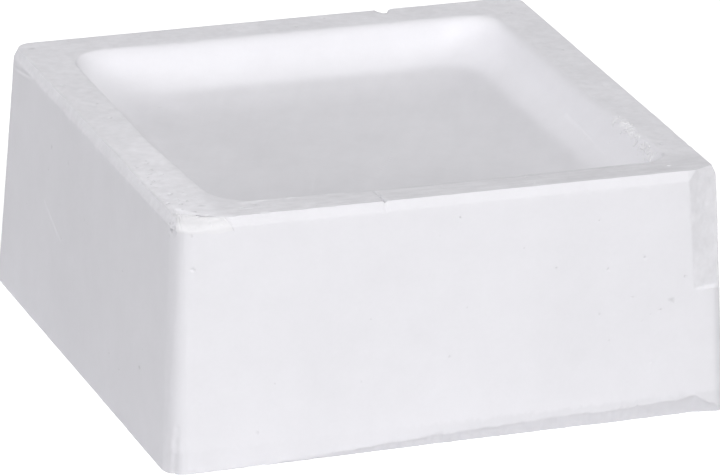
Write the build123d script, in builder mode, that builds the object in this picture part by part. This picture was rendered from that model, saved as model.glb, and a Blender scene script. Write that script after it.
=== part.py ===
from build123d import *
import os

# Pressed block of gymnast's chalk, millimetres, standing on its wide face.
# Origin: centre of the foot. +X along the front wall, +Y to the back, +Z up.

# Outer form
foot_width = 58.0
block_height = 25.4
draft_inset = 1.2          # lean of each wall over the full height
corner_radius = 2.2
chamfer_height = 0.95
chamfer_width = 0.45

# Pressed dish
rim_width = 4.9            # top outline to the sharp edge of the dish
dish_depth = 4.5
dish_wall_run = 2.8
dish_corner_radius = 3.4
dish_lip_radius = 1.8
dish_foot_radius = 2.4

# Cracked corner
chip_seat_depth = 1.3      # below the rim
crack_width = 0.3          # open crack between the rim and the chip
seam_width = 0.15          # closed seam down the chip's left end
crack_from = (-27.0, -24.9)
crack_to = (-22.9, -27.6)
seam_to = (-28.2, -28.7)

# Wear on the edges
scrape_bottom = 13.2
bevel_height_left = 0.15
bevel_height_right = 1.85
bevel_depth_left = 0.1
bevel_depth_right = 0.7
notch_x = 12.3
notch_half_width = 0.8
notch_depth = 1.3
nick_x = -6.6
nick_half_width = 0.35
nick_length = 2.0

# Loose crumbs
crumb_line_x = 24.1
crumb_first_y = -21.6
crumb_pitch = 1.25
crumb_count = 8

chamfer_start = block_height - chamfer_height
inset_at_chamfer = draft_inset * chamfer_start / block_height
shoulder_width = foot_width - 2 * inset_at_chamfer
top_width = shoulder_width - 2 * chamfer_width
dish_width = top_width - 2 * rim_width
half_foot = foot_width / 2
half_top = top_width / 2


def outer_form():
    """Drafted block with a chamfered top edge, before any wear."""
    with BuildPart() as form:
        with BuildSketch(Plane.XY):
            RectangleRounded(foot_width, foot_width, corner_radius)
        with BuildSketch(Plane.XY.offset(chamfer_start)):
            RectangleRounded(shoulder_width, shoulder_width, corner_radius)
        with BuildSketch(Plane.XY.offset(block_height)):
            RectangleRounded(top_width, top_width, corner_radius - chamfer_width)
        loft(ruled=True)
    return form.part


def corner_outline(crack_gap, seam_gap):
    """Plan of the cracked corner, pulled back from the crack and from the seam at its left end."""
    start = Vector(*crack_from)
    run = (Vector(*crack_to) - start).normalized()
    away = Vector(run.Y, -run.X)
    seam = (Vector(*seam_to) - start).normalized()
    inward = Vector(-seam.Y, seam.X)
    slide = (seam_gap - crack_gap * away.dot(inward)) / run.dot(inward)
    near = start + away * crack_gap + run * slide
    end = near + run * 8
    foot = near + seam * 8
    return [(near.X, near.Y), (end.X, end.Y), (end.X, foot.Y), (foot.X, foot.Y)]


with BuildPart() as block:
    add(outer_form())

    # Dish pressed into the top
    with BuildSketch(Plane.XY.offset(block_height)):
        RectangleRounded(dish_width, dish_width, dish_corner_radius)
    with BuildSketch(Plane.XY.offset(block_height - dish_depth)):
        RectangleRounded(
            dish_width - 2 * dish_wall_run,
            dish_width - 2 * dish_wall_run,
            dish_corner_radius,
        )
    loft(ruled=True, mode=Mode.SUBTRACT)

    floor_face = block.faces().filter_by(Plane.XY).sort_by(Axis.Z)[1]
    fillet(floor_face.edges(), dish_foot_radius)
    rim_face = block.faces().sort_by(Axis.Z)[-1]
    fillet(rim_face.inner_wires()[0].edges(), dish_lip_radius)

    # Seat left behind by the cracked corner
    with BuildSketch(Plane.XY.offset(block_height - chip_seat_depth)):
        Polygon(*corner_outline(0, 0), align=None)
    extrude(amount=chip_seat_depth + 1, mode=Mode.SUBTRACT)

    # Scraped facet down the front right corner
    with BuildSketch(Plane.XY.offset(scrape_bottom)):
        Polygon((25.0, -28.6), (28.9, -27.2), (30.5, -30.5), (25.0, -30.5), align=None)
    with BuildSketch(Plane.XY.offset(block_height + 1)):
        Polygon((24.2, -28.0), (28.2, -25.2), (30.5, -30.5), (24.2, -30.5), align=None)
    loft(ruled=True, mode=Mode.SUBTRACT)

    # Broken bevel along the foot of the front wall, widening to the right
    with BuildSketch(Plane.YZ.offset(-half_foot - 0.5)):
        Polygon(
            (-half_foot - 1, -1),
            (-half_foot + bevel_depth_left, -1),
            (-half_foot + bevel_depth_left, 0),
            (-half_foot, bevel_height_left),
            (-half_foot - 1, bevel_height_left),
            align=None,
        )
    with BuildSketch(Plane.YZ.offset(half_foot + 0.5)):
        Polygon(
            (-half_foot - 1, -1),
            (-half_foot + bevel_depth_right, -1),
            (-half_foot + bevel_depth_right, 0),
            (-half_foot, bevel_height_right),
            (-half_foot - 1, bevel_height_right),
            align=None,
        )
    loft(ruled=True, mode=Mode.SUBTRACT)

    # Notch knocked into the back edge of the rim
    with BuildSketch(Plane.XY.offset(block_height - 1.2)):
        Polygon(
            (notch_x - notch_half_width, half_top + 1.5),
            (notch_x + notch_half_width, half_top + 1.5),
            (notch_x + 0.2, half_top - notch_depth),
            (notch_x - 0.2, half_top - notch_depth),
            align=None,
        )
    extrude(amount=2, mode=Mode.SUBTRACT)

    # Nick in the front edge of the rim
    with BuildSketch(Plane.XY.offset(block_height - 0.6)):
        Polygon(
            (nick_x - nick_half_width, -half_top - 1),
            (nick_x + nick_half_width, -half_top - 1),
            (nick_x, -half_top + nick_length - 0.8),
            align=None,
        )
    extrude(amount=1, mode=Mode.SUBTRACT)
block.part.label = "block"


with BuildPart() as corner_chip:
    add(outer_form())
    with BuildSketch(Plane.XY.offset(block_height - chip_seat_depth)):
        Polygon(*corner_outline(crack_width, seam_width), align=None)
    extrude(amount=chip_seat_depth, mode=Mode.INTERSECT)
corner_chip.part.label = "corner_chip"


with BuildPart() as rim_crumbs:
    for i in range(crumb_count):
        size = 0.26 + 0.16 * ((i * 5) % 4) / 3
        x = crumb_line_x + 0.2 * ((i * 3) % 5 - 2) / 2
        y = crumb_first_y + crumb_pitch * i
        with BuildSketch(Plane.XY.offset(block_height)):
            with Locations((x, y)):
                RegularPolygon(radius=size, side_count=5, rotation=23 * i)
        extrude(amount=size * 1.1, taper=14)
rim_crumbs.part.label = "rim_crumbs"


os.makedirs("parts", exist_ok=True)
export_step(block.part, "parts/block.step")
export_step(corner_chip.part, "parts/corner_chip.step")
export_step(rim_crumbs.part, "parts/rim_crumbs.step")
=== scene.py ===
import math

import bpy
import numpy as np
from mathutils import Matrix, Vector


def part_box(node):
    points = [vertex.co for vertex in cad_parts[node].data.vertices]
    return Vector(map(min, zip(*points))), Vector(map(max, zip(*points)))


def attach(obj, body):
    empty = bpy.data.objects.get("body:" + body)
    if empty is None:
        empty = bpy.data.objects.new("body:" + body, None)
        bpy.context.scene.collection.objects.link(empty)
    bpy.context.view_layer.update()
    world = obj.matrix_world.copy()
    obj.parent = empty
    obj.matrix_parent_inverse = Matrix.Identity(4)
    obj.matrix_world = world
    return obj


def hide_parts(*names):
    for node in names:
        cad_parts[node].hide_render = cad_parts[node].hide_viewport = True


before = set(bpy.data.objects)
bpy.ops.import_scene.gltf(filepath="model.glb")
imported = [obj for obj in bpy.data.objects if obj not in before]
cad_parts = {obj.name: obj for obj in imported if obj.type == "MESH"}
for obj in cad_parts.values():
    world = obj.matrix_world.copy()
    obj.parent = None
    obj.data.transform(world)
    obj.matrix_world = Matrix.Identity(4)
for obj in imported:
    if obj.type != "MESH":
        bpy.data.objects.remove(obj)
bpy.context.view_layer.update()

MM = 0.001

# ---------------------------------------------------------------- sizes, mm
LOW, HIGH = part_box("block")
FOOT = (HIGH[0] - LOW[0]) / MM / 2            # half the foot's width
TALL = (HIGH[2] - LOW[2]) / MM                # height of the rim
LEAN = 1.2                                    # inset of each wall at the rim
CORNER = 2.2                                  # radius of the upright corners
CHAMFER_W, CHAMFER_H = 0.45, 0.95
CHAMFER_Z = TALL - CHAMFER_H
SHOULDER = FOOT - LEAN * CHAMFER_Z / TALL     # half width where the chamfer starts
TOP = SHOULDER - CHAMFER_W                    # half width of the rim's outline
MOUTH = (-23.35, 23.5, -24.1, 23.5)           # edge of the dish: left, right, front, back
MOUTH_RADII = (5.0, 2.9, 4.0, 4.4)
WALL_FOOT = (-18.6, 17.2, -19.4, 17.1)        # where the dish wall meets its floor
WALL_FOOT_RADII = (4.2, 3.8, 4.2, 3.8)
SEAT_Z = TALL - 1.3                           # floor of the cracked corner's seat
CRACK_A, CRACK_B = np.array([-26.95, -24.9]), np.array([-22.9, -27.45])
SEAM_RUN = np.array([-0.339, -0.941])         # the cracked corner's left end runs out this way
SEAM_IN = np.array([0.941, -0.339])           # and this way points into it
CRACK_LONG = np.linalg.norm(CRACK_B - CRACK_A)
CRACK_RUN = (CRACK_B - CRACK_A) / CRACK_LONG
CRACK_AWAY = np.array([CRACK_RUN[1], -CRACK_RUN[0]])   # points out past the corner
CRACK_GAP = 0.11
SCRAPE_Z = 13.2                               # foot of the facet down the front right corner
SMEAR = ((23.5, -21.0, TALL - 0.2), (23.6, -10.8, TALL - 0.2))     # powder smeared beside the dish
NICK_SCRATCH = ((-6.75, -24.4, TALL), (-6.6, -27.2, TALL))         # runs back from the nick
CRUMB_COUNT = 110
CRUMBS_BACK, CRUMBS_LONG = -10.8, 10.2        # where the crumbs start, and how far they run to the front
MOST_TRIANGLES = 186000
SEED = 20261

# distance in from the edge of the dish, and depth, down its wall
SOFT_WALL = np.array([
    (0.00, 0.00), (0.30, 0.03), (0.60, 0.15), (0.85, 0.35), (1.06, 0.62), (1.26, 0.96),
    (1.47, 1.33), (1.72, 1.75), (2.02, 2.17), (2.38, 2.59), (2.82, 2.99), (3.35, 3.36),
    (4.00, 3.69), (4.75, 3.94), (5.55, 4.09), (6.40, 4.17),
])
CRISP_WALL = np.array([
    (0.00, 0.00), (0.06, 0.01), (0.12, 0.06), (0.18, 0.17), (0.27, 0.38), (0.40, 0.68),
    (0.58, 1.05), (0.80, 1.48), (1.07, 1.97), (1.40, 2.46), (1.82, 2.92), (2.32, 3.31),
    (2.88, 3.64), (3.48, 3.90), (4.10, 4.07), (4.75, 4.17),
])


# ---------------------------------------------------------------- noise
def hashed(ix, iy, iz, seed):
    """One number in 0..1 for each lattice point."""
    h = (ix * 374761393 + iy * 668265263 + iz * 1440662683 + seed * 974634777) & 0xFFFFFFFF
    h = ((h ^ (h >> 13)) * 1274126177) & 0xFFFFFFFF
    h = ((h ^ (h >> 16)) * 2246822519) & 0xFFFFFFFF
    return ((h ^ (h >> 15)) & 0xFFFFFF) / float(0xFFFFFF)


def noise(points, size, seed):
    """Smooth value noise in -1..1 with features about size mm across."""
    q = points / size + 1000.0
    base = np.floor(q).astype(np.int64)
    f = q - base
    f = f * f * f * (f * (f * 6 - 15) + 10)
    total = np.zeros(len(points))
    for dx in (0, 1):
        wx = f[:, 0] if dx else 1 - f[:, 0]
        for dy in (0, 1):
            wy = f[:, 1] if dy else 1 - f[:, 1]
            for dz in (0, 1):
                wz = f[:, 2] if dz else 1 - f[:, 2]
                corner = hashed(base[:, 0] + dx, base[:, 1] + dy, base[:, 2] + dz, seed)
                total += wx * wy * wz * corner
    return total * 2 - 1


def fbm(points, size, seed, octaves=3, gain=0.5):
    """Layers of noise, each half the size of the last."""
    total, amount, norm = np.zeros(len(points)), 1.0, 0.0
    for octave in range(octaves):
        total += amount * noise(points, size / 2 ** octave, seed + 17 * octave)
        norm += amount
        amount *= gain
    return total / norm


def smooth(x, low, high):
    """0 below low, 1 above high, eased between."""
    t = np.clip((x - low) / (high - low), 0.0, 1.0)
    return t * t * (3 - 2 * t)


def segment_distance(points, a, b):
    """Distance of each point to the segment a-b, and how far along it falls, 0..1."""
    a, b = np.asarray(a, float), np.asarray(b, float)
    run = b - a
    along = np.clip(((points - a) @ run) / (run @ run), 0.0, 1.0)
    return np.linalg.norm(points - a - along[:, None] * run, axis=1), along


# ---------------------------------------------------------------- block surface
SIDE_STEPS = (430, 250, 240, 290)             # front, right, back, left
ARC_STEPS = 20
FOOT_RING, WALL, CHAMFER, RIM, DISH_WALL, DISH_FLOOR = range(6)


def outline(box, radii, z):
    """Closed rounded rectangle, anticlockwise from the front-left corner.
    box is left, right, front, back; radii run front-left, front-right, back-right, back-left."""
    left, right, front, back = box
    r = radii
    centres = ((left + r[0], front + r[0]), (right - r[1], front + r[1]),
               (right - r[2], back - r[2]), (left + r[3], back - r[3]))
    ring = []
    for index, (cx, cy) in enumerate(centres):
        turn = math.radians(180 + 90 * index) + math.pi / 2 * np.arange(ARC_STEPS) / ARC_STEPS
        ring.append(np.stack([cx + r[index] * np.cos(turn), cy + r[index] * np.sin(turn)], 1))
        end = math.radians(270 + 90 * index)
        away = np.array([math.cos(end), math.sin(end)])
        following = (index + 1) % 4
        first = np.array([cx, cy]) + r[index] * away
        last = np.array(centres[following]) + r[following] * away
        t = (np.arange(SIDE_STEPS[index]) / SIDE_STEPS[index])[:, None]
        ring.append(first + (last - first) * t)
    flat = np.concatenate(ring)
    return np.concatenate([flat, np.full((len(flat), 1), z)], 1)


def square(half, radius, z):
    """Rounded square, tighter at the front right corner."""
    return outline((-half, half, -half, half), (radius, radius * 0.68, radius, radius), z)


def wall_half(z):
    """Half width of the block at height z."""
    return FOOT - LEAN * z / TALL


def spread(a, b, step):
    """Values from a up to but not including b."""
    count = max(1, int(round(abs(b - a) / step)))
    return a + (b - a) * np.arange(count) / count


def curve_through(values, fraction):
    """Smooth curve through evenly numbered values, read at a fractional index."""
    padded = np.concatenate([[2 * values[0] - values[1]], values, [2 * values[-1] - values[-2]]])
    i = np.minimum(fraction.astype(int), len(values) - 2)
    t = fraction - i
    a, b, c, d = (padded[i + k] for k in range(4))
    square_term, cube_term = 2 * a - 5 * b + 4 * c - d, 3 * b - a - 3 * c + d
    return 0.5 * (2 * b + (c - a) * t + square_term * t ** 2 + cube_term * t ** 3)


def mouth_shift(x, y):
    """How far the left and right edges of the dish stray to the right, towards the front."""
    at_left = 0.9 * np.clip((-y - 5) / 15.5, 0, 1) * smooth(-x, 14, 20)
    return at_left + 0.85 * smooth(-y, 2, 18) * smooth(x, 16, 22)


def front_bow(x):
    """How far the front edge of the dish bows back at its left end."""
    return 0.12 * np.clip(((-4 - x) / 10) * np.abs((-4 - x) / 10), 0, 1.6)


def mouth_ring():
    """Edge of the dish at the rim, narrowed at the front left and widened at the front right."""
    ring = outline(MOUTH, MOUTH_RADII, TALL)
    x, y = ring[:, 0].copy(), ring[:, 1].copy()
    ring[:, 1] += front_bow(x) * smooth(-y, 15, 22)
    ring[:, 0] += mouth_shift(x, y)
    return ring


def block_rings():
    """Outlines from the middle of the foot, up the walls, over the rim and into the dish."""
    rings, kinds = [], []

    def add(ring, kind):
        rings.append(ring)
        kinds.append(kind)

    for half in spread(0.4, FOOT - 1.6, 1.1):
        add(square(half, min(CORNER, half * 0.5), 0.0), FOOT_RING)
    for half in spread(FOOT - 1.6, FOOT - 0.12, 0.18):
        add(square(half, CORNER - (FOOT - half) * 0.3, 0.0), FOOT_RING)
    for z in spread(0.0, CHAMFER_Z, 0.125):
        add(square(wall_half(z), CORNER, z), WALL)
    for t in spread(0.0, 1.0, 0.10):
        add(square(SHOULDER - CHAMFER_W * t, CORNER - CHAMFER_W * t, CHAMFER_Z + CHAMFER_H * t), CHAMFER)
    top, mouth = square(TOP, CORNER - CHAMFER_W, TALL), mouth_ring()
    for t in spread(0.0, 1.0, 0.15 / 4.4):
        add(top + (mouth - top) * t, RIM)
    # the dish wall has a crisp lip at the left and front and a soft one at the back and right
    foot = outline(WALL_FOOT, WALL_FOOT_RADII, TALL)
    soft = smooth(mouth[:, 0] + mouth[:, 1], 0.0, 13.0)
    for index in spread(0.0, len(SOFT_WALL) - 1.0, 0.28):
        at = np.full(len(mouth), index)
        inset_soft, inset_crisp = (curve_through(wall[:, 0], at) for wall in (SOFT_WALL, CRISP_WALL))
        depth_soft, depth_crisp = (curve_through(wall[:, 1], at) for wall in (SOFT_WALL, CRISP_WALL))
        share = soft * inset_soft / SOFT_WALL[-1, 0] + (1 - soft) * inset_crisp / CRISP_WALL[-1, 0]
        ring = mouth + (foot - mouth) * share[:, None]
        ring[:, 2] = TALL - soft * depth_soft - (1 - soft) * depth_crisp
        add(ring, DISH_WALL)
    foot_depth = soft * SOFT_WALL[-1, 1] + (1 - soft) * CRISP_WALL[-1, 1]
    centre = square(0.4, 0.2, TALL)
    reach = WALL_FOOT[1]
    for run in np.concatenate([spread(0.0, 2.4, 0.2), spread(2.4, reach, 0.42)]):
        ring = foot + (centre - foot) * (run / reach)
        sag = 0.20 * (1 - (1 - run / reach) ** 2)
        ring[:, 2] = TALL - foot_depth - 0.20 * (1 - math.exp(-run / 2.0)) - sag
        add(ring, DISH_FLOOR)
    return np.array(rings), np.array(kinds)


def ring_normals(rings):
    """Outward normals of a grid of rings."""
    around = np.roll(rings, -1, axis=1) - np.roll(rings, 1, axis=1)
    up = np.gradient(rings, axis=0)
    n = np.cross(around, up)
    return n / np.maximum(np.linalg.norm(n, axis=2, keepdims=True), 1e-9)


def ring_faces(count, around):
    """Quads between neighbouring rings."""
    i = np.arange(around)
    j = (i + 1) % around
    quads = [np.stack([k * around + i, k * around + j, (k + 1) * around + j, (k + 1) * around + i], 1)
             for k in range(count - 1)]
    return np.concatenate(quads)


def crack_frame(points):
    """Distance along the crack from its left end, and out from it along the seam."""
    away = points[:, :2] - CRACK_A
    run = CRACK_RUN[0] * SEAM_RUN[1] - CRACK_RUN[1] * SEAM_RUN[0]
    along = (away[:, 0] * SEAM_RUN[1] - away[:, 1] * SEAM_RUN[0]) / run
    out = (CRACK_RUN[0] * away[:, 1] - CRACK_RUN[1] * away[:, 0]) / run
    return along, out


def crack_plan(along, out):
    """The place that many mm along the crack and out from it, on its ragged lines."""
    flat = np.stack([along, np.zeros_like(along), out], 1)
    bend = 0.13 * noise(flat * (1, 0, 0), 1.3, 201) + 0.05 * noise(flat * (1, 0, 0), 0.4, 203)
    bend *= 1 - smooth(along, CRACK_LONG - 1.6, CRACK_LONG - 0.2)
    side = 0.09 * noise(flat * (0, 0, 1), 0.9, 207) * (1 - smooth(out, 0.5, 1.0))
    place = CRACK_A + along[:, None] * CRACK_RUN + out[:, None] * SEAM_RUN
    place += CRACK_AWAY * (bend * np.clip(1 - out / 2, 0, 1) * np.clip(along / 0.6, 0, 1))[:, None]
    return place + SEAM_IN * (side * np.clip(1 - along / 1.5, 0, 1))[:, None]


PITS = []                                     # x, y, z, radius, depth
PIT_REACH = 0.9                               # how far from its middle a pit can be felt


def wall_point(side, along, z):
    """A point on a wall: side 0 front, 1 right, 2 back, 3 left."""
    half = wall_half(z)
    return ((along, -half, z), (half, along, z), (along, half, z), (-half, along, z))[side]


def scatter_pits(rng):
    """Moulding pits: the ones that show at the front and left, and a thin scatter elsewhere."""
    seen = (
        (0, -27.0, 22.0, 0.14), (0, -26.2, 20.6, 0.16), (0, 0.8, 23.1, 0.11), (0, 15.2, 21.3, 0.11),
        (0, 10.8, 16.9, 0.12), (0, 16.2, 16.2, 0.12), (0, 20.0, 17.0, 0.12), (0, 21.8, 11.4, 0.11),
        (0, 20.8, 6.1, 0.11), (0, 19.5, 1.6, 0.14), (0, 24.3, 14.6, 0.11),
        # the crumbled hollows beside the cracked corner
        (3, -26.1, 24.9, 0.20), (3, -26.6, 24.5, 0.26), (3, -26.2, 24.1, 0.22), (3, -25.6, 24.6, 0.16),
        (3, -26.8, 23.8, 0.20), (3, -25.2, 24.9, 0.14), (3, -25.9, 23.5, 0.12),
    )
    below_chip = ((-27.7, -26.8, 24.1), (-27.5, -27.3, 24.0), (-27.0, -27.7, 24.05), (-26.4, -27.85, 24.0))
    for place in below_chip:
        PITS.append((*place, 0.17, 0.14))
    for side, along, z, radius in seen:
        PITS.append((*wall_point(side, along, z), radius, radius * (1.5 if side == 3 else 1.0)))
    for side in range(4):
        for _ in range(26 if side == 0 else 34):
            along, z = rng.uniform(-26, 26), rng.uniform(1.5, 23.5)
            radius = 0.05 + 0.05 * rng.random() ** 2
            PITS.append((*wall_point(side, along, z), radius, radius * 0.6))
    for _ in range(80):                       # the rim, thickest near the cracked corner
        if rng.random() < 0.55:
            x, y = rng.uniform(-27, -23.6), -27 + 18 * rng.random() ** 1.7
        else:
            x, y = rng.uniform(-27, 27), rng.choice((-1, 1)) * rng.uniform(24.5, 27)
            if rng.random() < 0.5:
                x, y = y, x
        radius = 0.07 + 0.12 * rng.random() ** 2
        PITS.append((x, y, TALL, radius, radius * 0.9))


# scuffs and scratches: two ends, width, depth
SCRATCHES = (
    ((-wall_half(13.4), 13.4, 13.4), (-wall_half(11.2), 7.6, 11.2), 0.16, 0.09),
    ((-wall_half(12.6), 10.4, 12.6), (-wall_half(10.9), 8.4, 10.9), 0.12, 0.05),
    ((-wall_half(23.4), 26.4, 23.4), (-wall_half(24.4), 19.3, 24.4), 0.16, 0.09),
    ((21.4, -2.6, 23.04), (21.3, -13.6, 22.57), 0.16, 0.08),
    ((17.6, -4.0, 21.5), (19.2, -17.5, 21.9), 0.14, 0.04),
    ((-1.0, -9.0, 20.85), (3.5, -2.0, 20.85), 0.12, 0.04),
    ((-9.5, -13.5, 20.85), (-6.8, -7.0, 20.85), 0.13, 0.04),
    ((5.0, -14.5, 20.85), (9.5, -12.0, 20.85), 0.12, 0.04),
)


def scratched(points, p, n):
    """Cuts each scratch as a shallow furrow with a burr on each side."""
    for a, b, width, depth in SCRATCHES:
        d, along = segment_distance(points, a, b)
        fade = np.sin(np.pi * np.clip(along * 0.9 + 0.05, 0, 1)) * (0.6 + 0.4 * noise(points, 1.1, 61))
        p -= n * (depth * fade * np.exp(-(d / width) ** 2) * (d < 1))[:, None]
        ridge = np.exp(-((d - width * 1.6) / (width * 0.7)) ** 2) * (d < 1)
        p += n * (0.35 * depth * fade * ridge)[:, None]


def uneven(points):
    """Slight unevenness of the pressing, then the grain of packed powder."""
    pressing = 0.030 * fbm(points, 15.0, 3, 2) + 0.010 * fbm(points, 2.6, 5, 3)
    return pressing + 0.005 * fbm(points, 0.55, 9, 2)


def front_lip(points):
    """The burr on the front edge of the dish, and the furrow that runs along the rim beside it, where the
    tone also paints a dark line of shade.
    """
    x, y, _ = points.T
    edge = MOUTH[2] + front_bow(x)
    ends = (1 - smooth(np.abs(x + 1), 19, 22)) * (y < 0)
    corner, _ = segment_distance(points * (1, 1, 0), (20.9, -24.15, 0), (24.1, -22.2, 0))
    lip = np.exp(-((y - edge + 0.05) / 0.11) ** 2) * ends
    furrow = np.exp(-((y - edge + 0.10) / 0.15) ** 2) * ends * smooth(x, -10, -6)
    furrow *= 0.55 + 0.45 * smooth(noise(points * (1, 0, 0), 2.6, 44), -0.5, 0.3)
    return lip, np.maximum(furrow, np.exp(-(corner / 0.2) ** 2) * (y < 0))


def relief(points, kind):
    """How far each point stands out from the smooth pressed form: roughness, crumbled edges, smears."""
    x, y, z = points.T
    on_rim, in_dish, wall = kind == RIM, kind >= DISH_WALL, (kind == WALL) | (kind == CHAMFER)
    outer = np.maximum(np.abs(x), np.abs(y))

    push = uneven(points)
    push[kind == FOOT_RING] = 0.0

    # the rim is rougher than the walls, most of all towards the cracked corner
    rough = np.clip(1.35 - np.hypot((x + 25.5) * 0.8, (y + 20) * 0.7) / 9.0, 0.0, 1.0)
    grain = 0.008 * fbm(points, 1.4, 21, 3) + 0.012 * fbm(points, 0.5, 22, 2)
    grain -= 0.03 * smooth(fbm(points, 0.6, 25, 3), 0.2, 0.5)
    push += (on_rim | (kind == CHAMFER)) * grain * (0.30 + 0.9 * rough)
    # streaks along the front rim
    streak = fbm(points * (0.18, 1, 1), 0.5, 27, 3)
    push += on_rim * smooth(-y, 23.5, 25.0) * 0.018 * streak

    # crumbled edges: top outline, foot, mouth of the dish
    top_edge = np.exp(-(np.hypot(outer - TOP, z - TALL) / 0.28) ** 2)
    worn = 0.015 + 0.05 * smooth(-y, 8, 24) + 0.05 * smooth(-x - y, 30, 48)
    push -= worn * top_edge * smooth(fbm(points, 1.7, 31, 4), 0.05, 0.65)
    foot_edge = np.exp(-(z / 0.35) ** 2) * wall
    push -= (0.14 - 0.10 * (x < -28)) * foot_edge * smooth(fbm(points, 2.2, 37, 4), 0.0, 0.7)
    push -= 0.03 * (in_dish & (z > TALL - 0.5)) * smooth(fbm(points, 1.3, 41, 4), 0.15, 0.6)

    # a thin burr stands on the crisp front edge of the dish
    lip, groove = front_lip(points)
    here = (on_rim | in_dish) & (z > TALL - 0.3)
    ragged = smooth(fbm(points * (0.5, 0, 0), 1.2, 42, 3), -0.05, 0.25) * (1 - smooth(x, -9, -5))
    push += here * (0.10 * lip * ragged - 0.075 * groove)

    # powder smeared along the right edge of the dish
    d, _ = segment_distance(points, *SMEAR)
    smear = np.exp(-(d / 0.55) ** 2) * (kind >= RIM)
    push += smear * (0.005 + 0.05 * smooth(fbm(points, 0.55, 45, 3), -0.1, 0.4))

    # soft dents rubbed into the dish
    return push + in_dish * (0.020 * fbm(points, 7.0, 43, 2) + 0.006 * fbm(points, 1.5, 47, 2))


def pitted(points, p, n):
    """Sinks each pit as a small bowl with an uneven rim."""
    for px, py, pz, radius, depth in PITS:
        reach = np.abs(points - (px, py, pz)).max(1) < PIT_REACH
        index = np.nonzero(reach)[0]
        if len(index):
            wobble = 1 + 0.35 * noise(points[index] + px, 0.3, 51)
            d = np.linalg.norm(points[index] - (px, py, pz), axis=1) / (radius * wobble)
            p[index] -= n[index] * (depth * np.clip(1 - d ** 2, 0, 1))[:, None]


def crack_lip(points, p, kind):
    """Broken lip along the crack on the block's side, and a hairline ledge behind it."""
    on_rim = kind == RIM
    along, out = crack_frame(points)
    worn = (on_rim | (kind == CHAMFER)) * (out < 0.2) * (along > -0.3) * (along < CRACK_LONG + 0.3)
    lip = np.clip(1 + out / (0.30 + 0.12 * noise(points, 0.6, 205)), 0, 1) * worn
    p[:, 2] -= 0.03 * lip
    ledge = 1.05 * (1 - along / 2.2) + 0.07 * noise(points, 0.5, 209)
    behind = (out < 0.2) * (along > -0.1) * (along < 2.2) * on_rim
    p[:, 2] -= 0.11 * smooth(out + ledge, -0.05, 0.06) * behind


def facet_rise(z):
    """How far up the scraped facet a height is, 0 at its foot and 1 at the rim."""
    return np.clip((z - SCRAPE_Z) / (TALL - SCRAPE_Z), 0, 1)


def scraped_facet(points, p, kind):
    """Scraped facet down the front right corner."""
    x, y, z = p.T
    up = facet_rise(z)
    sx, sy = 25.2 - 0.75 * up, -28.38 + 0.60 * up
    turn = np.radians(12.0 + 12.0 * up ** 1.5)
    nx, ny = np.sin(turn), -np.cos(turn)
    ragged = 0.05 * fbm(points, 0.8, 71, 3) + 0.03 * fbm(points, 3.0, 73, 2)
    over = (x - sx) * nx + (y - sy) * ny + ragged
    edge = smooth(z, SCRAPE_Z - 0.08 + 0.15 * noise(points, 0.9, 75), SCRAPE_Z + 0.12)
    outside = (kind == WALL) | (kind == CHAMFER) | (kind == RIM)
    cut = np.clip(over, 0, None) * edge * outside * (x > 20) * (y < -20)
    p[:, 0] -= nx * cut
    p[:, 1] -= ny * cut


def foot_bevel(points, p):
    """Broken bevel along the foot of the front wall, widening to the right."""
    x, y, z = p.T
    line_x = np.array([-29.0, -24.8, -17.4, 0.9, 15.5, 19.2, 19.6, 22.6, 25.6, 27.2, 29.0])
    line_z = np.array([0.05, 0.11, 0.28, 1.11, 1.52, 1.60, 1.72, 1.84, 1.86, 1.05, 0.60])
    flat_x = points * (1, 0, 0)
    height = np.interp(x, line_x, line_z) * (1 + 0.10 * noise(flat_x, 1.7, 81))
    height = height + 0.07 * fbm(flat_x, 0.6, 83, 3)
    below = np.clip(height - z, 0, None)
    step = 0.05 * smooth(below, 0, 0.12) * smooth(height, 0.2, 0.8)
    limit = -wall_half(height) + step + below * math.tan(math.radians(17))
    limit += (0.05 * fbm(points, 0.7, 85, 3) + 0.04 * fbm(points, 2.4, 87, 2)) * smooth(below, 0, 0.2)
    sunk = (below > 0) & (y < limit) & (y < -20)
    p[sunk, 1] = limit[sunk]


def foot_corner(points, p, n, kind):
    """Chipped strip up the foot of the front left corner."""
    wall = (kind == WALL) | (kind == CHAMFER)
    d, _ = segment_distance(points, (-28.4, -28.6, 0.0), (-28.1, -28.6, 4.6))
    p -= n * (0.22 * np.clip(1 - d / 0.5, 0, 1) * (0.7 + 0.5 * noise(points, 0.8, 89)) * wall)[:, None]


def rim_bites(points, p):
    """Notch in the back edge of the rim, and nick in its front edge with a scratch behind it."""
    d = np.hypot((p[:, 0] - 12.35) / 0.75, (p[:, 1] - TOP - 0.2) / 1.35)
    bite = np.clip(1 - d ** 2, 0, 1) * (p[:, 1] > 20) * (p[:, 2] > TALL - 2.2)
    p[:, 2] -= bite * (1.25 + 0.25 * noise(points, 0.7, 91)) * smooth(p[:, 2], TALL - 2.2, TALL - 0.8)
    d = np.abs(p[:, 0] + 6.65) / (0.24 * np.clip((-p[:, 1] - 25.6) / 1.9, 0.3, 1.2))
    bite = np.clip(1 - d, 0, 1) * (p[:, 1] < -25.6) * (p[:, 2] > TALL - 1.2)
    p[:, 2] -= 0.24 * bite
    d, _ = segment_distance(points, *NICK_SCRATCH)
    p[:, 2] -= 0.08 * np.exp(-(d / 0.11) ** 2)


def carve(points, n, kind):
    """Wear, pits and unevenness, applied to the smooth pressed form."""
    p = points + n * relief(points, kind)[:, None]
    pitted(points, p, n)
    scratched(points, p, n)
    crack_lip(points, p, kind)
    scraped_facet(points, p, kind)
    foot_bevel(points, p)
    foot_corner(points, p, n, kind)
    rim_bites(points, p)
    return p


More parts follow.
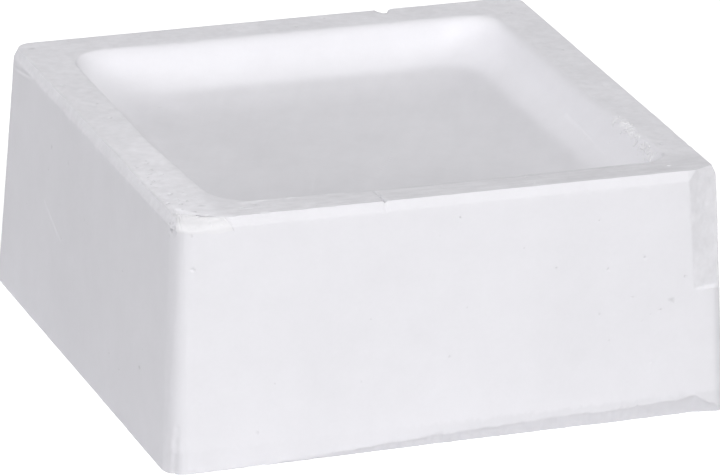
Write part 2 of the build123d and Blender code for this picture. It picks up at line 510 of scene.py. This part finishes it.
# the small out-of-square of this block: shifts of each corner of foot and rim
FOOT_SHIFT = ((0.069, -0.051), (0.086, 0.213), (0.002, -0.001), (-0.175, 0.087))
RIM_SHIFT = (
    (-0.148, 0.061, 0.013), (0.05, -0.222, -0.146), (0.077, -0.075, -0.03), (-0.016, -0.015, -0.015),
)


def out_of_square(p):
    """Slight skew of the pressing, blended from the eight corners."""
    p = np.array(p, float)
    u, v, h = p[:, 0] / (2 * FOOT) + 0.5, p[:, 1] / (2 * FOOT) + 0.5, p[:, 2] / TALL
    weights = ((1 - u) * (1 - v), u * (1 - v), u * v, (1 - u) * v)
    q = p.copy()
    for w, low, high in zip(weights, FOOT_SHIFT, RIM_SHIFT):
        q[:, 0] += w * ((1 - h) * low[0] + h * high[0])
        q[:, 1] += w * ((1 - h) * low[1] + h * high[1])
        q[:, 2] += w * h * high[2]
    return q


def mesh_object(name, verts_mm, faces):
    """A new mesh object in the scene, from points in mm."""
    mesh = bpy.data.meshes.new(name)
    mesh.from_pydata((np.asarray(verts_mm) * MM).tolist(), [], [list(map(int, f)) for f in faces])
    mesh.validate()
    mesh.update()
    obj = bpy.data.objects.new(name, mesh)
    bpy.context.scene.collection.objects.link(obj)
    return obj


def applied(obj):
    """Turns the object's modifiers into its mesh."""
    graph = bpy.context.evaluated_depsgraph_get()
    mesh = bpy.data.meshes.new_from_object(obj.evaluated_get(graph))
    old = obj.data
    obj.modifiers.clear()
    obj.data = mesh
    bpy.data.meshes.remove(old)
    return obj


def thinned(obj, most):
    """Decimates to at most that many triangles."""
    triangles = sum(len(p.vertices) - 2 for p in obj.data.polygons)
    if triangles > most:
        thin = obj.modifiers.new("thin", "DECIMATE")
        thin.ratio = most / triangles
        applied(obj)
    return obj


# ---------------------------------------------------------------- cracked corner
def seat_height(points):
    """The broken floor under the cracked corner."""
    return SEAT_Z + 0.14 * noise(points * (1, 1, 0), 1.4, 211) + 0.06 * noise(points * (1, 1, 0), 0.5, 213)


def seat_cutter():
    """Closed tool that takes the cracked corner out of the block: ragged undercut wall, uneven floor."""
    across, deep = 90, 60
    along, out = np.meshgrid(np.linspace(0.0, 7.0, across), np.linspace(0.0, 5.5, deep), indexing="ij")
    along, out = along.ravel(), out.ravel()
    flat = np.concatenate([crack_plan(along, out), np.zeros((across * deep, 1))], 1)
    under = np.sin(np.pi * np.clip(along / CRACK_LONG, 0, 1)) ** 0.7
    low, high = flat.copy(), flat.copy()
    low[:, :2] -= CRACK_AWAY * (0.14 * under * np.clip(1 - out, 0, 1))[:, None]
    low[:, 2] = seat_height(flat)
    high[:, 2] = TALL + 2
    i, j = np.meshgrid(np.arange(across - 1), np.arange(deep - 1), indexing="ij")
    a = (i * deep + j).ravel()
    quads = np.stack([a, a + 1, a + deep + 1, a + deep], 1)
    count = across * deep
    edge = ([(k, 0) for k in range(across)] + [(across - 1, k) for k in range(1, deep)]
            + [(k, deep - 1) for k in range(across - 2, -1, -1)] + [(0, k) for k in range(deep - 2, 0, -1)])
    loop = np.array([a * deep + b for a, b in edge])
    middle, lip = low[loop].copy(), high[loop].copy()
    middle[:, 2], lip[:, 2] = TALL - 0.36, TALL - 0.05
    around = len(loop)
    stack = [loop, 2 * count + np.arange(around), 2 * count + around + np.arange(around), loop + count]
    sides = [np.stack([p, q, np.roll(q, -1), np.roll(p, -1)], 1) for p, q in zip(stack, stack[1:])]
    faces = np.concatenate([quads, quads[:, ::-1] + count] + sides)
    return mesh_object("seat_cutter", np.concatenate([low, high, middle, lip]), faces)


def crack_gap(along):
    """Width of the crack: open along its middle, pinched shut at both ends."""
    t = along / CRACK_LONG
    opening = CRACK_GAP * smooth(t, 0.05, 0.22) * (1 - smooth(t, 0.72, 0.95))
    return opening - 0.02 - 0.10 * smooth(t, 0.85, 1.0)


def chip_section(z, steps):
    """The block's outline past the seam and the crack at height z, from the left wall round to the front."""
    ring = np.roll(square(wall_half(z), CORNER, z), SIDE_STEPS[3] // 2, axis=0)
    along, out = crack_frame(ring)
    keep = np.nonzero((along > 0) & (out > crack_gap(along)) & (ring[:, 0] < -15) & (ring[:, 1] < -15))[0]
    arc = ring[keep[0]:keep[-1] + 1]
    run = np.concatenate([[0.0], np.cumsum(np.linalg.norm(np.diff(arc, axis=0), axis=1))])
    at = np.linspace(0, run[-1], steps)
    return np.stack([np.interp(at, run, arc[:, k]) for k in range(3)], 1)


def chip_inside(skin, steps):
    """The broken side of the chip at one height: in along the seam, then along the crack to the front."""
    along, out = crack_frame(skin[[0, -1]])
    seam = np.stack([np.full(40, along[0]), np.linspace(out[0], crack_gap(0.0), 40)], 1)
    way = np.linspace(along[0], along[1], 160)[1:]
    crack = np.stack([way, crack_gap(way)], 1)
    line = np.concatenate([seam, crack])
    place = crack_plan(line[:, 0], line[:, 1])
    run = np.concatenate([[0.0], np.cumsum(np.linalg.norm(np.diff(place, axis=0), axis=1))])
    at = np.linspace(0, run[-1], steps)
    x, y = (np.interp(at, run, place[:, k]) for k in range(2))
    ring = np.stack([x, y, np.full(steps, skin[0, 2])], 1)
    ring[0], ring[-1] = skin[0], skin[-1]
    return ring


def chamfer_height(points):
    """Height of the worn top edge above each place, from the shoulder in to the rim."""
    q = np.abs(points[:, :2]) - (SHOULDER - CORNER)
    inside = CORNER - np.hypot(*np.clip(q, 0, None).T) - np.minimum(q.max(1), 0)
    return CHAMFER_Z + CHAMFER_H * np.clip(inside / CHAMFER_W, 0, 1)


def build_chip():
    """The cracked corner: low outer skin, worn sloping top, broken side down the crack, underside."""
    steps, rise = 190, 14
    skin = np.array([chip_section(z, steps) for z in np.linspace(SEAT_Z, SEAT_Z + 0.22, rise)])
    walls = np.array([chip_inside(ring, steps) for ring in skin])
    top = walls[-1].copy()
    top[:, 2] = np.minimum(TALL - 0.05, chamfer_height(top) - 0.006)
    ends = np.sin(np.pi * np.linspace(0, 1, steps)) ** 0.25
    rows = list(skin)
    for f in np.linspace(0, 1, 34)[1:]:
        row = skin[-1] * (1 - f) + top * f
        row[:, 2] = skin[-1][:, 2] + (top[:, 2] - skin[-1][:, 2]) * math.sin(f * math.pi / 2) ** 0.75
        row[:, 2] = np.minimum(row[:, 2], chamfer_height(row) - 0.006)
        rows.append(row)
    for f in np.linspace(1, 0, rise)[1:]:
        row = walls[0] * (1 - f) + walls[-1] * f
        row[:, 2] = SEAT_Z + (top[:, 2] - SEAT_Z) * f
        rows.append(row)
    rows += [walls[0] * (1 - f) + skin[0] * f for f in np.linspace(0, 1, 14)[1:-1]]
    grid = np.array(rows)
    flat = grid.reshape(-1, 3)
    normals = np.cross(np.gradient(grid, axis=1), np.roll(grid, -1, 0) - np.roll(grid, 1, 0)).reshape(-1, 3)
    normals /= np.maximum(np.linalg.norm(normals, axis=1, keepdims=True), 1e-9)
    if ((flat - flat.mean(0)) * normals).sum() < 0:
        normals = -normals
    pull = np.tile(ends, len(grid))
    grain = 0.018 * fbm(flat, 1.1, 221, 4) - 0.04 * smooth(fbm(flat, 0.55, 223, 3), 0.15, 0.5)
    grain *= smooth(flat[:, 2], SEAT_Z + 0.15, SEAT_Z + 0.4)
    broken_side = np.repeat(np.arange(len(grid)) >= rise + 32, steps)
    grain[broken_side] = 0.0
    # a groove for a second crack near its left end
    along, _ = crack_frame(flat)
    sliver = np.exp(-((along - 0.58) / 0.09) ** 2) * smooth(flat[:, 2], SEAT_Z + 0.3, SEAT_Z + 0.6)
    flat = flat + normals * (uneven(flat) - 0.004 + pull * (grain - 0.10 * sliver))[:, None]
    seat = 1 - smooth(flat[:, 2], SEAT_Z, SEAT_Z + 0.35)
    flat[:, 2] += (seat_height(flat) - SEAT_Z - 0.03) * seat
    count = len(grid)
    i = np.arange(count)
    ahead = (i + 1) % count
    faces = [np.stack([i * steps + k, i * steps + k + 1, ahead * steps + k + 1, ahead * steps + k], 1)
             for k in range(steps - 1)]
    # its two pinched ends are closed by a face each
    caps = [i * steps, (i * steps + steps - 1)[::-1]]
    return mesh_object("cracked_corner", out_of_square(flat), np.concatenate(faces).tolist() + caps)


# ---------------------------------------------------------------- loose crumbs
def unit_ball():
    """Evenly spread directions and their faces, from a twice divided icosahedron."""
    g = (1 + 5 ** 0.5) / 2
    verts = [Vector(v).normalized() for v in (
        (-1, g, 0), (1, g, 0), (-1, -g, 0), (1, -g, 0), (0, -1, g), (0, 1, g),
        (0, -1, -g), (0, 1, -g), (g, 0, -1), (g, 0, 1), (-g, 0, -1), (-g, 0, 1))]
    faces = [(0, 11, 5), (0, 5, 1), (0, 1, 7), (0, 7, 10), (0, 10, 11), (1, 5, 9), (5, 11, 4), (11, 10, 2),
             (10, 7, 6), (7, 1, 8), (3, 9, 4), (3, 4, 2), (3, 2, 6), (3, 6, 8), (3, 8, 9), (4, 9, 5),
             (2, 4, 11), (6, 2, 10), (8, 6, 7), (9, 8, 1)]
    for _ in range(2):
        middle, finer = {}, []
        for face in faces:
            mids = []
            for k in range(3):
                edge = tuple(sorted((face[k], face[(k + 1) % 3])))
                if edge not in middle:
                    middle[edge] = len(verts)
                    verts.append(((verts[edge[0]] + verts[edge[1]]) / 2).normalized())
                mids.append(middle[edge])
            a, b, c = face
            finer += [(a, mids[0], mids[2]), (b, mids[1], mids[0]), (c, mids[2], mids[1]), tuple(mids)]
        faces = finer
    return np.array([tuple(v) for v in verts]), np.array(faces)


def build_crumbs(rng, ground):
    """Crumbs caught along the right edge of the dish, a little thicker to the front, partly sunk in it."""
    ball, ball_faces = unit_ball()
    verts, faces, total = [], [], 0
    for index in range(CRUMB_COUNT):
        along = rng.random() ** 0.8
        y = CRUMBS_BACK - CRUMBS_LONG * along
        x = 23.62 - 0.10 * along + rng.normal(0, 0.17 if index % 4 else 0.34)
        size = 0.09 + 0.11 * rng.random() ** 2
        radii = size * np.array([rng.uniform(0.8, 1.6), rng.uniform(0.8, 1.6), rng.uniform(0.30, 0.50)])
        turn = rng.uniform(0, math.pi)
        shape = ball * radii * (1 + 0.30 * fbm(ball * 1.0 + index * 3.7, 0.8, 231, 2))[:, None]
        c, s = math.cos(turn), math.sin(turn)
        x_spun, y_spun = shape[:, 0] * c - shape[:, 1] * s, shape[:, 0] * s + shape[:, 1] * c
        spun = np.stack([x_spun, y_spun, shape[:, 2]], 1)
        _, place, up, _ = ground.ray_cast(Vector((x, y, TALL + 5)) * MM, Vector((0, 0, -1)))
        lean = np.array(Vector((0, 0, 1)).rotation_difference(up).to_matrix())
        verts.append(spun @ lean.T + np.array(place) / MM + np.array(up) * 0.25 * radii[2])
        faces.append(ball_faces + total)
        total += len(ball)
    return mesh_object("loose_crumbs", np.concatenate(verts), np.concatenate(faces))


def build_block(rng):
    """The whole block from foot to dish, worn and slightly out of square, closed by two fans."""
    rings, kinds = block_rings()
    count, around = rings.shape[:2]
    scatter_pits(rng)
    p = carve(rings.reshape(-1, 3), ring_normals(rings).reshape(-1, 3), np.repeat(kinds, around))
    p = out_of_square(p)
    low_centre, high_centre = len(p), len(p) + 1
    p = np.concatenate([p, [[0, 0, 0]], p[-around:].mean(0, keepdims=True)])
    i = np.arange(around)
    j = (i + 1) % around
    last = (count - 1) * around
    fans = [(low_centre, b, a) for a, b in zip(i, j)]
    fans += [(high_centre, last + a, last + b) for a, b in zip(i, j)]
    return mesh_object("chalk_block", p, [tuple(f) for f in ring_faces(count, around)] + fans)


rng = np.random.default_rng(SEED)
block = build_block(rng)
cutter = seat_cutter()
cut = block.modifiers.new("seat", "BOOLEAN")
cut.operation = "DIFFERENCE"
cut.solver = "EXACT"
cut.object = cutter
applied(block)
bpy.data.objects.remove(cutter)
thinned(block, MOST_TRIANGLES)
chip = build_chip()
crumbs = build_crumbs(rng, block)


# ---------------------------------------------------------------- tone
def dish_inset(x, y):
    """Distance in from the edge of the dish, negative on the rim."""
    left, right, front, back = MOUTH
    left, right = left + mouth_shift(left, y), right + mouth_shift(right, y)
    return np.minimum(np.minimum(x - left, right - x), np.minimum(y - front, back - y))


def rim_area(z, inset, outer):
    """1 on the flat of the rim, eased to 0 past its edges."""
    on_top = smooth(z, TALL - 0.5, TALL - 0.15) * (1 - smooth(inset, -0.1, 0.4))
    return on_top * (1 - smooth(outer, TOP - 0.2, TOP + 0.1))


def tone_of(p):
    """How pale the chalk is from place to place: dust on the rim, a rubbed dish floor, painted light on the
    dish's back and right walls and on the cracked corner, and painted shade in the pores, along the front
    edge of the dish and on the cracked corner.
    """
    x, y, z = p.T
    inset, outer = dish_inset(x, y), np.maximum(np.abs(x), np.abs(y))
    tone = np.ones(len(p))
    rim = rim_area(z, inset, outer)
    left = smooth(-inset - np.abs(x + 25.6) + 2.3, -1.0, 1.0) * smooth(-x, 22, 24)
    dust = 0.026 + left * (0.020 + 0.070 * smooth(-y, -6, 14))
    dust -= 0.045 * smooth(-y, 22, 25) * smooth(x, -8, 16)
    dust -= 0.048 * smooth(-y, 22, 25) * smooth(x, -22, -10)
    coarse = np.hypot((x + 25.5) * 0.8, (y + 18) * 0.6)
    mottle = 0.020 * fbm(p, 2.4, 301, 3)
    mottle += (0.018 + 0.030 * np.exp(-(coarse / 9) ** 2)) * fbm(p, 0.75, 303, 4)
    mottle += smooth(-y, 23, 25) * 0.030 * fbm(p * (0.35, 1, 1), 0.7, 305, 3)
    tone += rim * (dust + mottle)
    floor = smooth(TALL - z, 3.7, 4.1) * smooth(inset, 2.0, 4.0)
    smear = fbm(np.stack([(x + y) * 0.35, (x - y), z], 1), 5.0, 307, 4)
    tone += floor * (-0.050 + 0.080 * smooth(-x, 8, 19) + 0.016 * smear + 0.006 * fbm(p, 1.0, 309, 3))
    # painted light: the back and right walls of the dish are made paler, as if lit more
    wall = smooth(inset, 0.3, 1.2) * (1 - smooth(TALL - z, 3.5, 4.1))
    tone += wall * (0.05 * smooth(y, 12, 19) + 0.050 * smooth(x, 15, 19) * smooth(y, -26, 4))
    tone += 0.012 * fbm(p, 6.0, 311, 3) * (1 - rim)
    tone += scraped(p) * (1 - rim) * -0.045
    d, _ = segment_distance(p, *SMEAR)
    tone += 0.07 * np.exp(-(d / 0.55) ** 2) * smooth(fbm(p, 0.6, 45, 3), -0.3, 0.3)
    # painted shade: a dark line along the front edge of the dish and round its front right corner, in the
    # furrow
    _, furrow = front_lip(p)
    tone -= 0.15 * furrow * (z > TALL - 0.3)
    # painted highlight: a pale line along the lip behind the left end of the crack
    d, _ = segment_distance(p * (1, 1, 0), (-26.6, -23.9, 0), (-25.4, -25.35, 0))
    tone += 0.07 * np.exp(-(d / 0.16) ** 2) * (z > TALL - 0.3)
    along, out = crack_frame(p)
    # painted highlight on the left end of the cracked corner, and painted shade along its top
    chip_painted_shading = (out > 0.03) * (along > 0.0) * (x < -18) * (z > SEAT_Z + 0.1)
    tone += chip_painted_shading * (0.035 * (1 - smooth(along, 0.8, 2.4)) - 0.10 * smooth(z, TALL - 0.75, TALL - 0.2))
    d, _ = segment_distance(p, *NICK_SCRATCH)
    tone -= 0.10 * np.exp(-(d / 0.13) ** 2)
    tone -= (0.018 - 0.030 * smooth(y, 2, 26)) * (x < -27.0) * (z < TALL - 0.6)
    tone -= 0.045 * (y < -28.0) * smooth(y + wall_half(z), 0.04, 0.10) * (z < 2.2)
    front_left = 0.014 * (y < -27.5) * (z > 2.2) * (1 - smooth(x, -6, 22))
    tone += front_left - 0.010 * (y < -27.5) * smooth(x, 20, 28)
    for a, b, width, depth in SCRATCHES:
        d, _ = segment_distance(p, a, b)
        tone += 0.6 * depth * np.exp(-(d / width) ** 2)
    # painted shade: each pit is darkened towards its middle, standing in for the shade inside a deep pore
    for px, py, pz, radius, _ in PITS:
        index = np.nonzero(np.abs(p - (px, py, pz)).max(1) < PIT_REACH)[0]
        if len(index):
            d = np.linalg.norm(p[index] - (px, py, pz), axis=1) / (radius * 1.25)
            tone[index] -= 0.24 * np.clip(1 - d ** 2, 0, 1)
    return tone


def scraped(p):
    """1 on the facet down the front right corner."""
    x, y, z = p.T
    across = smooth(x - 25.2 + 0.75 * facet_rise(z), 0.0, 0.2) * smooth(-y, 26.0, 26.8)
    return across * smooth(z, SCRAPE_Z - 0.1, SCRAPE_Z + 0.2)


def marks_of(p):
    """Where the chalk is mottled, where its rim is streaked, and where the dish is smeared, each 0..1."""
    x, y, z = p.T
    inset, outer = dish_inset(x, y), np.maximum(np.abs(x), np.abs(y))
    rim = rim_area(z, inset, outer)
    rim = np.maximum(rim, (x < -TOP + 0.2) * smooth(z, TALL - 1.3, TALL - 0.9))
    front = smooth(-y, 23.5, 24.3)
    floor = smooth(TALL - z, 3.4, 4.0) * smooth(inset, 2.0, 4.0)
    return np.stack([np.maximum(rim * (1 - 0.4 * front), scraped(p)), rim * front, floor], 1)


def toned(obj):
    """Stores the tone and the marks on the mesh for its material."""
    count = len(obj.data.vertices)
    places = np.empty(count * 3)
    obj.data.vertices.foreach_get("co", places)
    layer = obj.data.attributes.new("tone", "FLOAT", "POINT")
    places = places.reshape(-1, 3) / MM
    layer.data.foreach_set("value", tone_of(places))
    layer = obj.data.attributes.new("marks", "FLOAT_VECTOR", "POINT")
    layer.data.foreach_set("vector", marks_of(places).ravel())
    return obj


# ---------------------------------------------------------------- materials
def chalk_material(name, base, grain=1.0):
    """Matt chalk: base colour times tone, with cloudy, mottled, streaked and smeared noise."""
    mat = bpy.data.materials.new(name)
    mat.use_nodes = True
    tree = mat.node_tree
    tree.nodes.clear()
    link = tree.links.new
    out = tree.nodes.new("ShaderNodeOutputMaterial")
    bsdf = tree.nodes.new("ShaderNodeBsdfPrincipled")
    bsdf.inputs["Specular IOR Level"].default_value = 0.25
    link(bsdf.outputs[0], out.inputs["Surface"])
    coord = tree.nodes.new("ShaderNodeTexCoord")
    scale = tree.nodes.new("ShaderNodeMapping")
    scale.inputs["Scale"].default_value = (1000, 1000, 1000)
    link(coord.outputs["Object"], scale.inputs["Vector"])

    def noise_node(size, detail, stretch=None, turn=0.0):
        """Noise with features about size mm across, stretched and turned about Z if asked."""
        n = tree.nodes.new("ShaderNodeTexNoise")
        n.inputs["Scale"].default_value = 1.0 / size
        n.inputs["Detail"].default_value = detail
        n.inputs["Roughness"].default_value = 0.55
        place = scale.outputs[0]
        if stretch:
            drawn = tree.nodes.new("ShaderNodeMapping")
            drawn.vector_type = "TEXTURE"
            drawn.inputs["Scale"].default_value = stretch
            drawn.inputs["Rotation"].default_value = (0, 0, turn)
            link(place, drawn.inputs["Vector"])
            place = drawn.outputs[0]
        link(place, n.inputs["Vector"])
        return n

    cloud, patch = noise_node(9.0, 3), noise_node(2.2, 4)
    grainy, fine = noise_node(0.45, 4), noise_node(0.14, 2)
    blotch, speck = noise_node(3.0, 4), noise_node(0.8, 5)
    streak = noise_node(0.55, 4, (6, 1, 1))
    smear = noise_node(1.5, 4, (5, 1, 1), math.radians(66))

    def maths(op, a, b, clamp=False):
        n = tree.nodes.new("ShaderNodeMath")
        n.operation = op
        n.use_clamp = clamp
        for socket, value in zip(n.inputs, (a, b)):
            if isinstance(value, (int, float)):
                socket.default_value = value
            else:
                link(value, socket)
        return n.outputs[0]

    tone = maths("MULTIPLY", maths("SUBTRACT", cloud.outputs["Fac"], 0.5), 0.05)
    tone = maths("ADD", tone, maths("MULTIPLY", maths("SUBTRACT", patch.outputs["Fac"], 0.5), 0.035))
    tone = maths("ADD", tone, maths("MULTIPLY", maths("SUBTRACT", grainy.outputs["Fac"], 0.5), 0.03 * grain))
    tone = maths("ADD", tone, 1.0)
    marks = tree.nodes.new("ShaderNodeAttribute")
    marks.attribute_name = "marks"
    split = tree.nodes.new("ShaderNodeSeparateXYZ")
    link(marks.outputs["Vector"], split.inputs[0])
    spots = maths("MULTIPLY", maths("SUBTRACT", blotch.outputs["Fac"], 0.47), 7.0, True)
    dust = maths("MULTIPLY", spots, 0.036)
    dust = maths("ADD", dust, maths("MULTIPLY", maths("SUBTRACT", speck.outputs["Fac"], 0.5), 0.16))
    for amount, pattern in (
        (split.outputs[0], maths("SUBTRACT", dust, 0.014)),
        (split.outputs[1], maths("MULTIPLY", maths("SUBTRACT", streak.outputs["Fac"], 0.5), 0.20)),
        (split.outputs[2], maths("MULTIPLY", maths("SUBTRACT", smear.outputs["Fac"], 0.5), 0.06)),
    ):
        tone = maths("ADD", tone, maths("MULTIPLY", amount, pattern))
    own = tree.nodes.new("ShaderNodeAttribute")
    own.attribute_name = "tone"
    tone = maths("MULTIPLY", tone, own.outputs["Fac"])
    colour = tree.nodes.new("ShaderNodeVectorMath")
    colour.operation = "SCALE"
    colour.inputs[0].default_value = base
    link(tone, colour.inputs["Scale"])
    link(colour.outputs[0], bsdf.inputs["Base Color"])
    rough = maths("ADD", 0.86, maths("MULTIPLY", patch.outputs["Fac"], 0.14))
    link(rough, bsdf.inputs["Roughness"])

    coarse_part = maths("MULTIPLY", grainy.outputs["Fac"], 0.6)
    height = maths("ADD", coarse_part, maths("MULTIPLY", fine.outputs["Fac"], 0.4))
    bump = tree.nodes.new("ShaderNodeBump")
    bump.inputs["Strength"].default_value = 0.05 * grain
    bump.inputs["Distance"].default_value = 0.00006
    link(height, bump.inputs["Height"])
    link(bump.outputs[0], bsdf.inputs["Normal"])
    return mat


CHALK, FRESH_CHALK = (0.752, 0.746, 0.782), (0.768, 0.762, 0.789)
chalk = chalk_material("pressed_chalk", CHALK)
fresh = chalk_material("fresh_chalk", FRESH_CHALK, 1.4)


def shaded(obj, mat, angle=None):
    """Gives the object its material and smooth shading, sharp past that many degrees if asked."""
    obj.data.materials.clear()
    obj.data.materials.append(mat)
    for poly in obj.data.polygons:
        poly.use_smooth = True
    if angle:
        obj.data.set_sharp_from_angle(angle=math.radians(angle))
    return obj


shaded(toned(block), chalk, 40)
shaded(toned(chip), fresh, 45)
shaded(toned(crumbs), fresh)
for piece, slot, replaced in (
    (block, "chalk_body", "block"),
    (chip, "chalk_chip", "corner_chip"),
    (crumbs, "chalk_crumb", "rim_crumbs"),
):
    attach(piece, "root")
    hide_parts(replaced)


# ---------------------------------------------------------------- stage
FLOOR_SIZE, FLOOR_DROP = 2.4, 0.00002         # metres; the floor lies just under the foot
FLOOR_SEEN, FLOOR_BOUNCE = (0.9, 0.9, 0.905, 1), (0.72, 0.72, 0.73, 1)
FLOOR_GLOW = 0.5


def plane(name, size, z, mat):
    """Flat square of the stage."""
    s = size / 2
    mesh = bpy.data.meshes.new(name)
    mesh.from_pydata([(-s, -s, z), (s, -s, z), (s, s, z), (-s, s, z)], [], [(0, 1, 2, 3)])
    obj = bpy.data.objects.new(name, mesh)
    bpy.context.scene.collection.objects.link(obj)
    obj.data.materials.append(mat)
    return obj


def floor_material():
    """Pale floor: it glows to the camera alone, and throws a little less light back at the block."""
    mat = bpy.data.materials.new("studio_floor")
    mat.use_nodes = True
    tree = mat.node_tree
    bsdf = tree.nodes["Principled BSDF"]
    bsdf.inputs["Roughness"].default_value = 1.0
    bsdf.inputs["Specular IOR Level"].default_value = 0.0
    bsdf.inputs["Emission Color"].default_value = (1, 1, 1, 1)
    seen = tree.nodes.new("ShaderNodeLightPath")
    glow = tree.nodes.new("ShaderNodeMath")
    glow.operation = "MULTIPLY"
    glow.inputs[1].default_value = FLOOR_GLOW
    tree.links.new(seen.outputs["Is Camera Ray"], glow.inputs[0])
    tree.links.new(glow.outputs[0], bsdf.inputs["Emission Strength"])
    bounce = tree.nodes.new("ShaderNodeMix")
    bounce.data_type = "RGBA"
    bounce.inputs["A"].default_value = FLOOR_SEEN
    bounce.inputs["B"].default_value = FLOOR_BOUNCE
    tree.links.new(seen.outputs["Is Diffuse Ray"], bounce.inputs["Factor"])
    tree.links.new(bounce.outputs["Result"], bsdf.inputs["Base Color"])
    return mat


plane("floor", FLOOR_SIZE, -FLOOR_DROP, floor_material())

LIGHT_DISTANCE, LIGHT_SIZE = 3.0, 1.2         # metres
AIM = Vector((0, 0, 0.012))                   # middle of the block


def area_light(name, azimuth, elevation, power, colour=(1, 1, 1)):
    """Soft round light aimed at the block. Azimuth 0 is in front, negative to the left."""
    a, e = math.radians(azimuth), math.radians(elevation)
    back = Vector((math.sin(a) * math.cos(e), -math.cos(a) * math.cos(e), math.sin(e)))
    light = bpy.data.lights.new(name, "AREA")
    light.shape = "DISK"
    light.size = LIGHT_SIZE
    light.energy = power
    light.color = colour
    obj = bpy.data.objects.new(name, light)
    obj.location = back * LIGHT_DISTANCE + AIM
    obj.rotation_euler = back.to_track_quat("Z", "Y").to_euler()
    bpy.context.scene.collection.objects.link(obj)
    return obj


area_light("key", -30, 60, 43.9)
area_light("left", -60, 20, 28.7)
area_light("right", 35, 20, 46.3, (1.0, 1.0, 0.985))
area_light("behind", -150, 40, 20.1)
world = bpy.data.worlds.new("studio")
bpy.context.scene.world = world
world.use_nodes = True
background = world.node_tree.nodes["Background"]
background.inputs["Color"].default_value = (1, 1, 1, 1)
# the camera sees a pale backdrop, which lights the block very little
BACKDROP_SEEN, BACKDROP_LIGHT = 0.95, 0.02
sky = world.node_tree.nodes.new("ShaderNodeLightPath")
level = world.node_tree.nodes.new("ShaderNodeMath")
level.operation = "MULTIPLY_ADD"
level.inputs[1].default_value = BACKDROP_SEEN
level.inputs[2].default_value = BACKDROP_LIGHT
world.node_tree.links.new(sky.outputs["Is Camera Ray"], level.inputs[0])
world.node_tree.links.new(level.outputs[0], background.inputs["Strength"])
bpy.context.scene.view_settings.view_transform = "Standard"
bpy.context.scene.view_settings.look = "None"

# ---------------------------------------------------------------- camera
AZ, EL, ROLL = math.radians(-19.765), math.radians(20.337), math.radians(1.055)
DISTANCE = 694.57 * MM
TARGET = Vector((-1.123, -4.9, 13.0)) * MM
back = Vector((math.sin(AZ) * math.cos(EL), -math.cos(AZ) * math.cos(EL), math.sin(EL)))
right = Vector((0, 0, 1)).cross(back).normalized()
over = back.cross(right)
right, over = (
    math.cos(ROLL) * right + math.sin(ROLL) * over,
    -math.sin(ROLL) * right + math.cos(ROLL) * over,
)
lens = bpy.data.cameras.new("camera")
lens.sensor_width = 36.0
lens.lens = 348.12
lens.clip_start, lens.clip_end = 0.01, 20
camera = bpy.data.objects.new("camera", lens)
camera.matrix_world = Matrix((
    (right.x, over.x, back.x, TARGET.x + back.x * DISTANCE),
    (right.y, over.y, back.y, TARGET.y + back.y * DISTANCE),
    (right.z, over.z, back.z, TARGET.z + back.z * DISTANCE),
    (0, 0, 0, 1),
))
bpy.context.scene.collection.objects.link(camera)
bpy.context.scene.camera = camera
